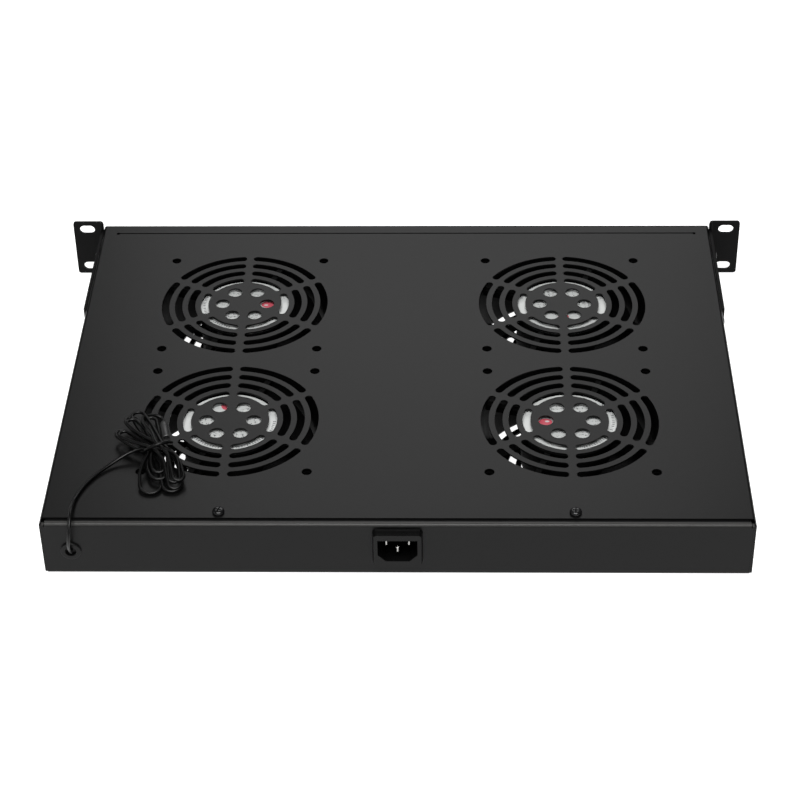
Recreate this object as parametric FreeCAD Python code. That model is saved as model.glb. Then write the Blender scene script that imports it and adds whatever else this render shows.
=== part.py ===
# Rack fan tray, 19 inch, one unit high: a folded steel tray with a U-shaped cover, two rack brackets,
# four 120 mm mains fans that blow upwards, a front thermostat and power switch, and a rear mains inlet.
# Millimetres. +Z is up, the front with the rack ears faces -Y, and the origin is the middle of the base.
import FreeCAD, Part
import math
import os

os.makedirs("parts", exist_ok=True)
V = FreeCAD.Vector
X_AXIS = V(1, 0, 0)
Y_AXIS = V(0, 1, 0)
Z_AXIS = V(0, 0, 1)

# ---- driving dimensions: chassis ----
body_w = 440.0          # over the cover's side walls
body_d = 330.0          # front panel face to rear panel face
body_h = 41.6           # base to the cover's top
sheet = 1.2             # steel sheet
bend_r = 2.0            # outside radius of every fold
side_gap = 0.1          # tray wall to cover wall, each side
cover_front_gap = 0.5   # cover edge behind the front face
cover_rear_step = 5.0   # cover edge in front of the rear face
rear_flange = 18.0      # inward fold on top of the rear wall
front_flange = 9.4      # inward fold on top of the front wall
side_flange_h = 36.0    # height of the tray's side walls
corner_slit = 0.6       # slit where the top flanges meet the side walls
wall_step = 1.0         # the side walls' ends stay below the flanges
wall_corner_r = 2.2     # round corners of the cover's side walls
cover_low = 0.4         # lower edge of the cover's side walls
front_y = -body_d / 2
rear_y = body_d / 2
tray_w = body_w - 2 * (sheet + side_gap)
tray_h = body_h - sheet
cover_rear_y = rear_y - cover_rear_step
lip_y = front_y + 10.6   # middle of the cover's long slot
lip_slot = 1.8          # the slot's width
lip_len = 415.6         # the tray's lip in the slot
lip_relief_r = 1.4      # round relief at each end of the slot

# ---- driving dimensions: rack brackets ----
rack_w = 485.0          # over the ears
ear_h = 44.4
ear_low = 1.3           # lower edge of the ears above the base
bracket_t = 2.0
ear_slot_x = 232.55     # 465.1 mm between the two columns of slots
ear_slot_pitch = 31.75
ear_slot_len = 11.0
ear_slot_w = 7.0
leg_len = 103.0
leg_low = 2.5
leg_top = body_h - 1.0
ear_corner_r = 2.0
bracket_screw_spots = [(-141.0, 31.0), (-141.0, 11.0), (-74.0, 21.0)]   # y, z on the leg

# ---- driving dimensions: fans ----
fan_size = 120.0
fan_depth = 38.0
fan_hole_pitch = 105.0
fan_x = 110.0
fan_rows = {"front": -66.9, "rear": 63.2}
fan_sides = {"left": -fan_x, "right": fan_x}
fan_floor = sheet       # fans stand on the tray's bottom
flange_t = 5.0
duct_r = 57.5
barrel_r = 60.0
fan_corner_r = 5.0
fan_hole_r = 2.3
motor_r = 32.0          # round mount that carries the motor and the label
motor_top = 36.6        # above the fan's lower face
motor_t = 2.6
strut_w = 4.0
strut_low = 32.0
lead_strut_angle = 152.0
lead_strut_w = 11.0
hub_r = 31.0
hub_wall = 1.8
hub_low = 5.0
hub_top = 30.6
blade_count = 5
blade_tip_r = 56.2
blade_low = 5.5
blade_rise = 24.0
blade_span = 58.0       # degrees of turn that one blade covers
blade_t = 1.7
shaft_r = 2.5
shaft_gap = 0.05        # running clearance in the bearing
bearing_r = 4.5
bearing_low = 13.0
bearing_top = 31.0
tube_r = 6.5            # bearing tube on the motor mount
stator_r = 25.0

# ---- driving dimensions: screws ----
cover_screw = {"head_r": 3.8, "head_h": 2.4, "shank_r": 1.9, "length": 6.0}
cover_screw_y = rear_y - 10.2
bracket_screw = {"head_r": 3.6, "head_h": 2.3, "shank_r": 1.9, "length": 6.0}
fan_screw_head_r = 3.9   # countersunk flush with the underside
fan_screw_r = 2.2
fan_screw_len = 11.0
earth_screw_head = {"head_r": 3.8, "head_h": 2.4, "shank_r": 2.0, "length": 4.2}
earth_spot = V(34.0, 140.0, 0)

# ---- driving dimensions: grilles ----
ring_radii = [55.0, 46.0, 37.0, 28.0]   # middle of each ring of slots
slot_w = 5.2
spoke_w = 4.6           # metal left between two slot ends
sectors = 6
eye_ring_r = 15.4
eye_r = 5.0
corner_hole_r = 3.25

# ---- driving dimensions: mains inlet ----
inlet_x = -0.5
inlet_z = 23.2
inlet_proud = 5.0
inlet_face_w = 29.4
inlet_face_h = 25.0
inlet_edge = 1.0        # slope round the face
inlet_body_w = 27.0
inlet_body_h = 20.0
inlet_depth = 17.0      # body behind the panel's outer face
socket_w = 24.6
socket_h = 16.6
socket_depth = 16.5
socket_corner = 5.0
pin_pitch = 14.0
pin_offset = 2.0
pin_w = 2.0
pin_h = 4.0
pin_back = 5.4          # tips of the two upper pins behind the face
earth_pin_back = 3.6    # the earth pin touches first

# ---- driving dimensions: front controls ----
thermo_w = 70.5
thermo_h = 28.5
thermo_depth = 59.0
thermo_z = 20.6
bezel_w = 76.0
bezel_h = 34.5
bezel_proud = 2.4
window_x = -10.5
window_w = 44.0
window_h = 22.0
key_x = 26.0
key_w = 9.0
key_h = 6.0
key_pitch = 9.0
key_gap = 0.35
key_skirt = 0.7         # how far the skirt reaches behind the bezel's edge
key_room = 1.1          # pocket round the caps
key_proud = 1.2
switch_x = -150.0
switch_z = 20.6
switch_bezel_w = 15.6
switch_bezel_h = 23.0
switch_proud = 1.8
switch_cav_w = 11.6
switch_cav_h = 18.6
switch_wall = 1.3
switch_depth = 18.0
rocker_w = 10.8
rocker_half = 8.2
rocker_tilt = 8.0
pivot_in = 3.0          # pivot behind the panel's outer face
trunnion_r = 1.5

# ---- driving dimensions: wiring and sensor ----
block_w = 60.0
block_d = 22.0
block_h = 14.0
block_y = 21.0
poles = 10
cord_d = 2.2
grommet_spot = V(202.2, rear_y, 19.0)
grommet_r = 6.4
grommet_lip = 1.4
grommet_neck_r = 4.2     # in the panel's hole
grommet_bore_r = 3.5
grommet_web = 1.3        # web between the two bores, closed round the cord
probe_r = 2.4
probe_len = 17.0
fan_lead_d = 3.2
mains_lead_d = 5.0


def save(shape, node):
    shape.exportStep("parts/" + node + ".step")


def box(x0, x1, y0, y1, z0, z1):
    return Part.makeBox(x1 - x0, y1 - y0, z1 - z0, V(x0, y0, z0))


def moved(shape, x, y, z):
    copy = shape.copy()
    copy.translate(V(x, y, z))
    return copy


def turned(shape, centre, axis, angle):
    copy = shape.copy()
    copy.rotate(centre, axis, angle)
    return copy


def rounded_rect(half_a, half_b, r):
    """Closed wire in the XY plane, round corners."""
    a = half_a - r
    b = half_b - r
    c = r * math.sqrt(0.5)
    edges = []
    corners = [(a, b, 0), (-a, b, 1), (-a, -b, 2), (a, -b, 3)]
    starts = [(r, 0), (0, r), (-r, 0), (0, -r)]
    mids = [(c, c), (-c, c), (-c, -c), (c, -c)]
    previous = None
    first = None
    for x, y, i in corners:
        start = V(x + starts[i][0], y + starts[i][1], 0)
        end = V(x + starts[(i + 1) % 4][0], y + starts[(i + 1) % 4][1], 0)
        if previous is not None:
            edges.append(Part.LineSegment(previous, start).toShape())
        else:
            first = start
        edges.append(Part.Arc(start, V(x + mids[i][0], y + mids[i][1], 0), end).toShape())
        previous = end
    edges.append(Part.LineSegment(previous, first).toShape())
    return Part.Wire(edges)


def rounded_plate(width, height, r, thick):
    """Plate in the XZ plane, growing towards +Y from y = 0."""
    face = Part.Face(rounded_rect(width / 2, height / 2, r))
    face.rotate(V(0, 0, 0), X_AXIS, 90)
    return face.extrude(V(0, thick, 0))


def polygon_prism(points, along):
    return Part.Face(Part.makePolygon(points + [points[0]])).extrude(along)


def pan_screw(head_r, head_h, shank_r, length):
    """Pan-head screw, head at z = 0..head_h, shank down -Z: one revolved outline."""
    flat = head_r * 0.55
    crown = V(head_r * 0.88, 0, head_h * 0.8)
    edges = [
        Part.LineSegment(V(0, 0, -length), V(shank_r, 0, -length)),
        Part.LineSegment(V(shank_r, 0, -length), V(shank_r, 0, 0)),
        Part.LineSegment(V(shank_r, 0, 0), V(head_r, 0, 0)),
        Part.LineSegment(V(head_r, 0, 0), V(head_r, 0, head_h * 0.4)),
        Part.Arc(V(head_r, 0, head_h * 0.4), crown, V(flat, 0, head_h)),
        Part.LineSegment(V(flat, 0, head_h), V(0, 0, head_h)),
        Part.LineSegment(V(0, 0, head_h), V(0, 0, -length))]
    return Part.Face(Part.Wire([e.toShape() for e in edges])).revolve(V(0, 0, 0), Z_AXIS, 360)


# ---- grilles ----
def ring_slot(radius, start_angle):
    """One curved slot of a ring, from one spoke to the next, as a cutter."""
    end_turn = math.asin((spoke_w + slot_w) / 2 / radius)
    a0 = math.radians(start_angle) + end_turn
    a1 = math.radians(start_angle + 360.0 / sectors) - end_turn
    mid = (a0 + a1) / 2
    half = slot_w / 2

    def at(r, a):
        return V(r * math.cos(a), r * math.sin(a), 0)

    def cap(a, side):
        tangent = V(-math.sin(a), math.cos(a), 0)
        return at(radius, a) + tangent * (half * side)

    outer = Part.Arc(at(radius + half, a0), at(radius + half, mid), at(radius + half, a1)).toShape()
    far_cap = Part.Arc(at(radius + half, a1), cap(a1, 1), at(radius - half, a1)).toShape()
    inner = Part.Arc(at(radius - half, a1), at(radius - half, mid), at(radius - half, a0)).toShape()
    near_cap = Part.Arc(at(radius - half, a0), cap(a0, -1), at(radius + half, a0)).toShape()
    return Part.Face(Part.Wire([outer, far_cap, inner, near_cap])).extrude(V(0, 0, 4 * sheet))


def grille_cutters():
    """Everything punched through a plate for one fan, apart from its corner holes."""
    cutters = []
    for radius in ring_radii:
        for k in range(sectors):
            cutters.append(ring_slot(radius, 90.0 + k * 360.0 / sectors))
    for k in range(sectors):
        a = math.radians(k * 360.0 / sectors)
        spot = V(eye_ring_r * math.cos(a), eye_ring_r * math.sin(a), 0)
        cutters.append(Part.makeCylinder(eye_r, 4 * sheet, spot))
    return cutters


def fan_spots():
    return [(x, y) for y in fan_rows.values() for x in fan_sides.values()]


def corner_spots():
    half = fan_hole_pitch / 2
    return [(sx * half, sy * half) for sx in (-1, 1) for sy in (-1, 1)]


# ---- chassis ----
def bottom_tray():
    half = tray_w / 2
    outer = box(-half, half, front_y, rear_y, 0, tray_h)
    folds = []
    for edge in outer.Edges:
        b = edge.BoundBox
        flat = b.ZMax - b.ZMin < 0.01
        along_x = b.XMax - b.XMin > 1 and flat
        low_side = b.YMax - b.YMin > 1 and flat and b.ZMin < 1
        if along_x or low_side:
            folds.append(edge)
    outer = outer.makeFillet(bend_r, folds)
    inner = box(-half + sheet, half - sheet, front_y + sheet, rear_y - sheet, sheet, tray_h - sheet)
    folds = []
    for edge in inner.Edges:
        b = edge.BoundBox
        flat = b.ZMax - b.ZMin < 0.01
        if flat and (b.XMax - b.XMin > 1 or b.ZMin < 2 * sheet):
            folds.append(edge)
    inner = inner.makeFillet(bend_r - sheet, folds)
    tray = outer.cut(inner)
    window_front = lip_y + sheet / 2
    tray = tray.cut(box(-half - 1, half + 1, window_front, rear_y - rear_flange,
                        tray_h - 2 * sheet, tray_h + 1))
    for side in (-1, 1):
        x0, x1 = sorted((side * (half - 2 * sheet), side * (half + 1)))
        tray = tray.cut(box(x0, x1, front_y + 3 * sheet, rear_y - 3 * sheet, side_flange_h, tray_h + 1))
        x0, x1 = sorted((side * lip_len / 2, side * (half + 1)))
        tray = tray.cut(box(x0, x1, front_y + 3 * sheet, window_front + 1, side_flange_h, tray_h + 1))
        x0, x1 = sorted((side * (half - sheet - corner_slit), side * (half - sheet)))
        tray = tray.cut(box(x0, x1, front_y - 1, rear_y + 1, tray_h - 2 * sheet, tray_h + 1))
        x0, x1 = sorted((side * (half - sheet - corner_slit), side * (half + 1)))
        tray = tray.cut(box(x0, x1, front_y - 1, rear_y + 1, tray_h - wall_step, tray_h + 1))
    lip = box(-lip_len / 2, lip_len / 2, lip_y - sheet / 2, lip_y + sheet / 2, tray_h - sheet, body_h - 0.4)
    tray = tray.fuse(lip)
    cutters = []
    for x, y in fan_spots():
        cutters += [moved(c, x, y, -sheet) for c in grille_cutters()]
        for dx, dy in corner_spots():
            cone = Part.makeCone(fan_screw_head_r + 0.1, fan_hole_r, sheet, V(x + dx, y + dy, 0))
            cutters.append(cone.fuse(Part.makeCylinder(fan_hole_r, 2 * sheet, V(x + dx, y + dy, 0))))
    cutters.append(box(inlet_x - inlet_body_w / 2, inlet_x + inlet_body_w / 2, rear_y - 3, rear_y + 1,
                       inlet_z - inlet_body_h / 2, inlet_z + inlet_body_h / 2))
    cutters.append(Part.makeCylinder(grommet_neck_r, 4, grommet_spot - Y_AXIS * 3, Y_AXIS))
    cutters.append(box(-thermo_w / 2, thermo_w / 2, front_y - 1, front_y + 3,
                       thermo_z - thermo_h / 2, thermo_z + thermo_h / 2))
    body_w_switch = switch_cav_w + 2 * switch_wall
    body_h_switch = switch_cav_h + 2 * switch_wall
    cutters.append(box(switch_x - body_w_switch / 2, switch_x + body_w_switch / 2, front_y - 1, front_y + 3,
                       switch_z - body_h_switch / 2, switch_z + body_h_switch / 2))
    for side in (-1, 1):
        spot = V(side * fan_x, cover_screw_y, tray_h - 2)
        cutters.append(Part.makeCylinder(cover_screw["shank_r"] + 0.1, 4, spot))
        for y, z in bracket_screw_spots:
            cutters.append(Part.makeCylinder(bracket_screw["shank_r"] + 0.1, 6, V(side * (half + 1), y, z),
                                             X_AXIS * -side))
    cutters.append(Part.makeCylinder(earth_screw_head["shank_r"], 3, earth_spot - Z_AXIS * 0.5))
    return tray.cut(Part.makeCompound(cutters))


def top_cover():
    half = body_w / 2
    outer = box(-half, half, front_y + cover_front_gap, rear_y, cover_low, body_h)
    top_sides = [e for e in outer.Edges
                 if e.BoundBox.ZMin > body_h - 0.01 and e.BoundBox.YMax - e.BoundBox.YMin > 1]
    outer = outer.makeFillet(bend_r, top_sides)
    inner = box(-half + sheet, half - sheet, front_y - 1, rear_y + 1, cover_low - 1, body_h - sheet)
    top_sides = [e for e in inner.Edges
                 if e.BoundBox.ZMin > body_h - sheet - 0.01 and e.BoundBox.YMax - e.BoundBox.YMin > 1]
    inner = inner.makeFillet(bend_r - sheet, top_sides)
    cover = outer.cut(inner)
    cover = cover.cut(box(-half + sheet, half - sheet, cover_rear_y, rear_y + 1, body_h - 3, body_h + 1))
    side_shape = box(-half - 1, half + 1, front_y + cover_front_gap, rear_y, cover_low, body_h)
    corners = [e for e in side_shape.Edges if e.BoundBox.XMax - e.BoundBox.XMin > 1
               and (e.BoundBox.YMin > rear_y - 0.01 or e.BoundBox.ZMax < cover_low + 0.01)]
    cover = cover.common(side_shape.makeFillet(wall_corner_r, corners))
    cutters = []
    for x, y in fan_spots():
        cutters += [moved(c, x, y, body_h - 2 * sheet) for c in grille_cutters()]
        for dx, dy in corner_spots():
            spot = V(x + dx, y + dy, body_h - 2 * sheet)
            cutters.append(Part.makeCylinder(corner_hole_r, 3 * sheet, spot))
    slot_half = lip_len / 2 + 0.6
    cutters.append(box(-slot_half, slot_half, lip_y - lip_slot / 2, lip_y + lip_slot / 2,
                       body_h - 3, body_h + 1))
    for side in (-1, 1):
        cutters.append(Part.makeCylinder(lip_relief_r, 5, V(side * slot_half, lip_y, body_h - 3)))
        spot = V(side * fan_x, cover_screw_y, body_h - 3)
        cutters.append(Part.makeCylinder(cover_screw["shank_r"] + 0.3, 5, spot))
        for y, z in bracket_screw_spots:
            cutters.append(Part.makeCylinder(bracket_screw["shank_r"] + 0.2, 4, V(side * (half + 1), y, z),
                                             X_AXIS * -side))
    return cover.cut(Part.makeCompound(cutters))


def rack_bracket(side):
    """L-shaped bracket: a long leg on the cover's side wall and the rack ear at the front."""
    wall = body_w / 2
    inner_fold = 1.0
    outer_fold = inner_fold + bracket_t
    y0 = front_y
    leg_end = y0 + leg_len
    ear_end = rack_w / 2
    profile = box(wall, ear_end, y0, leg_end, ear_low, ear_low + ear_h)
    profile = profile.cut(box(wall + bracket_t, ear_end + 1, y0 + bracket_t, leg_end + 1, 0, body_h + 10))
    outside = [e for e in profile.Edges
               if abs(e.BoundBox.XMin - wall) < 0.01 and abs(e.BoundBox.XMax - wall) < 0.01
               and abs(e.BoundBox.YMax - y0) < 0.01]
    profile = profile.makeFillet(outer_fold, outside)
    inside = wall + bracket_t
    corner = [e for e in profile.Edges
              if abs(e.BoundBox.XMin - inside) < 0.01 and abs(e.BoundBox.XMax - inside) < 0.01
              and abs(e.BoundBox.YMin - y0 - bracket_t) < 0.01
              and abs(e.BoundBox.YMax - y0 - bracket_t) < 0.01]
    profile = profile.makeFillet(inner_fold, corner)
    fold_end = y0 + outer_fold
    profile = profile.cut(box(wall - 1, ear_end + 1, fold_end, leg_end + 1, leg_top, body_h + 10))
    profile = profile.cut(box(wall - 1, ear_end + 1, fold_end, leg_end + 1, 0, leg_low))
    middle = ear_low + ear_h / 2
    ear_mask = rounded_plate(rack_w / 2 - wall, ear_h, ear_corner_r, outer_fold + 0.5)
    ear_mask.translate(V((rack_w / 2 + wall) / 2, y0 - 0.5, middle))
    rest_mask = box(wall - 1, ear_end + 1, fold_end, leg_end + 1, 0, body_h + 10)
    bracket = profile.common(ear_mask.fuse(rest_mask))
    cutters = []
    for level in (-1, 1):
        hole = rounded_plate(ear_slot_len, ear_slot_w, ear_slot_w / 2 - 0.0005, 6)
        hole.translate(V(ear_slot_x, y0 - 2, middle + level * ear_slot_pitch / 2))
        cutters.append(hole)
    for y, z in bracket_screw_spots:
        cutters.append(Part.makeCylinder(bracket_screw["shank_r"] + 0.3, 4, V(wall - 1, y, z), X_AXIS))
    bracket = bracket.cut(Part.makeCompound(cutters))
    if side < 0:
        bracket = bracket.mirror(V(0, 0, 0), X_AXIS)
    return bracket


def bracket_screws(side):
    screw = pan_screw(**bracket_screw)
    screw.rotate(V(0, 0, 0), Y_AXIS, 90)
    if side < 0:
        screw = turned(screw, V(0, 0, 0), Z_AXIS, 180)
    x = side * (body_w / 2 + bracket_t)
    return Part.makeCompound([moved(screw, x, y, z) for y, z in bracket_screw_spots])


def cover_screws():
    screw = pan_screw(**cover_screw)
    return Part.makeCompound([moved(screw, side * fan_x, cover_screw_y, body_h) for side in (-1, 1)])


def fan_screws():
    """Countersunk thread-forming screws, flush with the underside of the tray."""
    screw = Part.makeCone(fan_screw_head_r, fan_screw_r, sheet)
    screw = screw.fuse(Part.makeCylinder(fan_screw_r, fan_screw_len)).removeSplitter()
    spots = [(x + dx, y + dy) for x, y in fan_spots() for dx, dy in corner_spots()]
    return Part.makeCompound([moved(screw, x, y, 0) for x, y in spots])


# ---- fans, each made about its own axis with its lower face at z = 0 ----
def fan_frame():
    square = Part.Face(rounded_rect(fan_size / 2, fan_size / 2, fan_corner_r)).extrude(V(0, 0, fan_depth))
    band = box(-100, 100, -100, 100, flange_t, fan_depth - flange_t)
    band = band.cut(Part.makeCylinder(barrel_r, fan_depth, V(0, 0, 0)))
    frame = square.cut(band)
    holes = [Part.makeCylinder(duct_r, fan_depth + 2, V(0, 0, -1))]
    for dx, dy in corner_spots():
        holes.append(Part.makeCylinder(fan_hole_r, fan_depth + 2, V(dx, dy, -1)))
    frame = frame.cut(Part.makeCompound(holes))
    mount = Part.makeCylinder(motor_r, motor_t, V(0, 0, motor_top - motor_t))
    mount = mount.fuse(Part.makeCylinder(tube_r, motor_top - bearing_low - 1, V(0, 0, bearing_low)))
    mount = mount.cut(Part.makeCylinder(bearing_r, bearing_top - bearing_low, V(0, 0, bearing_low)))
    mount = mount.cut(Part.makeCylinder(shaft_r + 1.0, 3.4, V(0, 0, bearing_top - 1)))
    reach = duct_r + 1.2
    for k in range(4):
        width = lead_strut_w if k == 0 else strut_w
        strut = box(motor_r - 2.5, reach, -width / 2, width / 2, strut_low, motor_top - 0.4)
        strut.rotate(V(motor_r, 0, 0), Z_AXIS, 9.0)
        mount = mount.fuse(turned(strut, V(0, 0, 0), Z_AXIS, lead_strut_angle + 90.0 * k))
    mount = mount.common(Part.makeCylinder(reach, fan_depth))
    return frame.fuse(mount).removeSplitter()


def blade():
    """One blade along +X, lofted through flat sections and trimmed by the hub and the tip circle."""
    sections = []
    half_span = math.radians(blade_span) / 2
    for x, sweep, thick in ((21.0, -6.0, 2.2), (33.0, -2.0, 2.0), (46.0, 3.0, 1.7), (60.0, 9.0, 1.3)):
        upper = []
        lower = []
        for k in range(5):
            t = k / 4.0
            turn = -half_span + 2 * half_span * t
            y = x * math.tan(turn) * 0.92
            z = blade_low + 1.0 + (blade_rise - 2.0) * (t + 0.10 * math.sin(math.pi * t))
            slope = math.atan2(blade_rise, 2 * half_span * x)
            body = thick * (0.35 + 0.65 * math.sin(math.pi * (0.08 + 0.84 * t))) / 2
            shift = x * math.tan(math.radians(sweep))
            upper.append(V(x, y + shift - body * math.sin(slope), z + body * math.cos(slope)))
            lower.append(V(x, y + shift + body * math.sin(slope), z - body * math.cos(slope)))
        top = Part.BSplineCurve()
        top.interpolate(upper)
        bottom = Part.BSplineCurve()
        bottom.interpolate(lower[::-1])
        tail = Part.LineSegment(upper[-1], lower[-1]).toShape()
        nose = Part.LineSegment(lower[0], upper[0]).toShape()
        sections.append(Part.Wire([top.toShape(), tail, bottom.toShape(), nose]))
    loft = Part.makeLoft(sections, True, False)
    ring = Part.makeCylinder(blade_tip_r, fan_depth).cut(Part.makeCylinder(hub_r - 0.9, fan_depth))
    return loft.common(ring)


def fan_impeller():
    cup = Part.makeCylinder(hub_r, hub_top - hub_low, V(0, 0, hub_low))
    low_edge = [e for e in cup.Edges
                if e.BoundBox.ZMax < hub_low + 0.01 and e.Curve.TypeId.endswith("Circle")]
    cup = cup.makeFillet(3.0, low_edge)
    cup = cup.cut(Part.makeCylinder(hub_r - hub_wall, hub_top, V(0, 0, hub_low + 2.2)))
    cup = cup.fuse(Part.makeCylinder(5.5, 6.0, V(0, 0, hub_low + 1.0)))
    cup = cup.cut(Part.makeCylinder(shaft_r, 20.0, V(0, 0, hub_low + 1.2)))
    one = blade()
    blades = [turned(one, V(0, 0, 0), Z_AXIS, k * 360.0 / blade_count) for k in range(blade_count)]
    wheel = cup
    for piece in blades:
        wheel = wheel.fuse(piece)
    return wheel.removeSplitter()


def fan_shaft():
    low = hub_low + 1.2
    return Part.makeCylinder(shaft_r, bearing_top - low + 1.0, V(0, 0, low))


def fan_bearing():
    height = bearing_top - 1.0 - bearing_low
    outer = Part.makeCylinder(bearing_r, height, V(0, 0, bearing_low))
    return outer.cut(Part.makeCylinder(shaft_r + shaft_gap, height, V(0, 0, bearing_low)))


def fan_stator():
    """Laminated core with eight poles, and the wound coils above and below it."""
    core = Part.makeCylinder(stator_r, 9.0, V(0, 0, 17.5))
    slots = []
    for k in range(8):
        slit = box(tube_r + 6, stator_r + 1, -1.2, 1.2, 17, 28)
        slots.append(turned(slit, V(0, 0, 0), Z_AXIS, 45.0 * k + 22.5))
    core = core.cut(Part.makeCompound(slots))
    coils = Part.makeTorus(15.5, 4.5, V(0, 0, 22.0), Z_AXIS)
    coils = coils.common(box(-30, 30, -30, 30, 14.5, 29.5))
    coils = coils.fuse(Part.makeCylinder(20.0, 13.0, V(0, 0, 15.5)))
    core = core.fuse(coils)
    return core.cut(Part.makeCylinder(tube_r, 40, V(0, 0, 0)))


# ---- leads and cords ----
def rounded_path(points, share=0.45, report=None):
    """Straight runs joined by tangent arcs, each arc as large as its two runs allow."""
    edges = []
    start = points[0]
    radii = []
    for i in range(1, len(points) - 1):
        back = points[i - 1] - points[i]
        ahead = points[i + 1] - points[i]
        run = min(back.Length, ahead.Length)
        back.normalize()
        ahead.normalize()
        turn = math.pi - back.getAngle(ahead)
        trim = share * run
        radius = trim / math.tan(turn / 2)
        a = points[i] + back * trim
        b = points[i] + ahead * trim
        inward = back + ahead
        inward.normalize()
        centre = points[i] + inward * math.hypot(trim, radius)
        middle = centre - inward * radius
        edges.append(Part.LineSegment(start, a).toShape())
        edges.append(Part.Arc(a, middle, b).toShape())
        start = b
        radii.append(radius)
    edges.append(Part.LineSegment(start, points[-1]).toShape())
    wire = Part.Wire(edges)
    if report:
        print(report, "length %.1f" % wire.Length, "radii", ["%.1f" % r for r in radii])
    return wire


def tube(points, diameter, report):
    path = rounded_path([V(*p) for p in points], report=report)
    first = path.Edges[0]
    direction = first.tangentAt(first.FirstParameter)
    section = Part.Wire([Part.makeCircle(diameter / 2, V(*points[0]), direction)])
    solid = path.makePipeShell([section], True, False)
    expected = math.pi * diameter ** 2 / 4 * path.Length
    print("   volume / (section x length) = %.4f" % (solid.Volume / expected))
    return solid


lead_z = 8.0
block_side = block_w / 2
block_front = block_y - block_d / 2
block_rear = block_y + block_d / 2
lead_dx = barrel_r * math.cos(math.radians(lead_strut_angle))
lead_dy = barrel_r * math.sin(math.radians(lead_strut_angle))


def lead_start(x, y):
    """Where a fan's lead leaves its barrel, and the next point straight out."""
    return [(x + lead_dx, y + lead_dy, 24.0), (x + 1.10 * lead_dx, y + 1.10 * lead_dy, 24.0)]


fan_lead_routes = {
    "front_right": lead_start(fan_x, fan_rows["front"]) + [
        (45.0, -30.0, 19.0), (41.0, -19.0, 11.0), (39.5, -4.0, lead_z), (38.0, 14.5, lead_z),
        (block_side, 14.5, lead_z)],
    "rear_right": lead_start(fan_x, fan_rows["rear"]) + [
        (45.0, 95.5, 18.5), (41.5, 84.0, 10.5), (40.5, 62.0, lead_z), (38.5, 42.0, lead_z),
        (39.5, 27.0, lead_z), (block_side, 27.0, lead_z)],
    "front_left": lead_start(-fan_x, fan_rows["front"]) + [
        (-175.5, -30.0, 19.0), (-176.5, -17.0, 11.0), (-165.0, -4.6, lead_z), (-120.0, -3.4, lead_z),
        (-75.0, -3.6, lead_z), (-46.0, 0.0, lead_z), (-38.5, 14.5, lead_z), (-block_side, 14.5, lead_z)],
    "rear_left": lead_start(-fan_x, fan_rows["rear"]) + [
        (-175.5, 94.0, 18.0), (-178.5, 78.0, 9.0), (-177.5, 45.0, lead_z), (-176.0, 15.0, lead_z),
        (-160.0, 0.6, lead_z), (-120.0, 0.8, lead_z), (-78.0, 0.6, lead_z), (-50.0, 6.0, lead_z),
        (-41.5, 27.0, lead_z), (-block_side, 27.0, lead_z)],
}
inlet_back = rear_y - inlet_depth - 16.0
inlet_lead_route = [(0, inlet_back, 22.0), (0, inlet_back - 11, 22.0), (-4, 102, 13.0), (-7, 84, 8.4),
                    (-6, 58, 8.0), (-6, block_rear, 8.0)]
earth_lead_route = [(8.5, inlet_back, 18.0), (8.5, inlet_back - 9, 18.0), (17.0, 114.0, 11.0),
                    (27.0, 112.5, 5.0), (34.0, 119.5, 3.1), (34.0, 131.0, 3.1)]
switch_back = front_y + switch_depth + 7.0
switch_lead_route = [(switch_x, switch_back, 20.6), (switch_x, switch_back + 5.2, 20.6),
                     (switch_x + 8, switch_back + 6.4, 13.0), (-125, -133.0, 6.5), (-92, -134.0, 5.0),
                     (-62, -134.5, 5.0), (-48.0, -131.0, 5.4), (-43.4, -119.0, 6.4), (-42.5, -92, 8.0),
                     (-40, -50, 8.0), (-29, -22, 8.0), (-22, -5, 8.0), (-22, block_front, 8.0)]
thermo_back = front_y + thermo_depth
thermo_lead_route = [(-12, thermo_back, 18.0), (-12, thermo_back + 14, 18.0), (-9, -68, 9.5),
                     (-3, -42, 8.0), (2, -16, 8.0), (2, block_front, 8.0)]
web_front = rear_y - 0.8
web_back = web_front - grommet_web
sensor_lead_route = [(grommet_spot.x, web_back, grommet_spot.z), (grommet_spot.x, 152.0, grommet_spot.z),
                     (199.0, 136.0, 10.0), (193.0, 116.0, 4.0), (190.0, 70.0, 3.2), (189.0, 16.0, 3.2),
                     (190.0, -40.0, 3.2), (190.0, -92.0, 3.2), (186.0, -122.0, 3.4), (168.0, -138.0, 3.6),
                     (128.0, -142.0, 3.4), (82.0, -141.0, 3.4), (56.0, -137.0, 4.6), (44.5, -122.0, 8.0),
                     (41.0, -104.0, 12.5), (34.0, -91.0, 16.0), (24.0, -88.5, 17.5), (18.0, -94.0, 18.0),
                     (18.0, thermo_back, 18.0)]
# The free sensor cord: up out of the rear grommet, over the rear edge and across the cover to the hank.
cord_route = [
    (grommet_spot.x, web_front + 0.9, grommet_spot.z - 1.4), (202.1, 170.9, 24.5), (201.3, 174.4, 31.6),
    (200.2, 174.9, 39.2), (199.8, 169.9, 45.6), (200.0, 162.0, 47.9), (200.4, 153.6, 46.0),
    (200.3, 146.6, 43.9), (198.9, 139.4, 43.0), (194.8, 128.4, 43.0), (187.4, 117.0, 43.0),
    (178.6, 108.4, 44.3), (170.1, 103.6, 47.3), (161.4, 101.8, 49.9)]
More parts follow.
